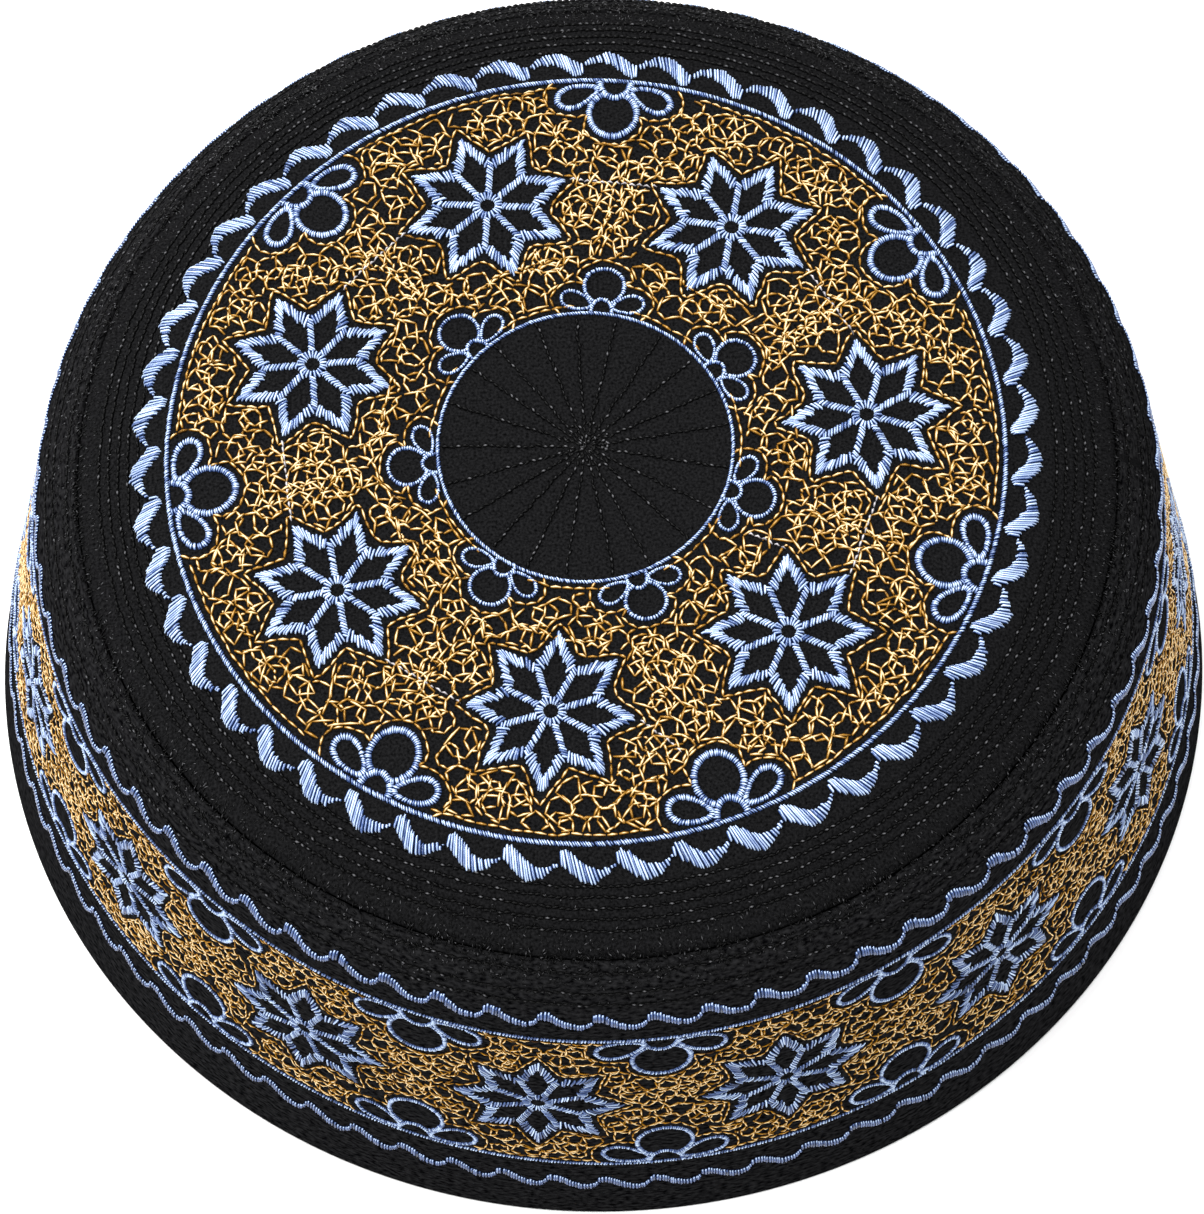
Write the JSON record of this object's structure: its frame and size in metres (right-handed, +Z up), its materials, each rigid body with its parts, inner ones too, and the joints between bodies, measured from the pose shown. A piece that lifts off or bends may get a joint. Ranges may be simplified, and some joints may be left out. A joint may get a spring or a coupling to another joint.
{
  "type": "kufi cap",
  "caption": "Round brimless cap with a slightly domed quilted crown sewn to a flared side band, hollow below for the head.",
  "frame": {"origin": "middle of the rim's bottom face, where the cap rests on a surface", "axes": "+Z up through the middle of the crown, +X along the longer way across the rim, -Y to the front"},
  "size_m": [0.1926, 0.1874, 0.081],
  "materials": {
    "crown_cloth": "black quilted cotton, matt",
    "band_cloth": "black quilted cotton, matt",
    "blue_thread": "light blue embroidery thread, soft sheen",
    "gold_thread": "golden yellow embroidery thread, soft sheen",
    "black_thread": "black quilting thread, soft sheen"
  },
  "bodies": {
    "root": {"crown_top": "crown_cloth", "side_band": "band_cloth"}
  },
  "joints": []
}
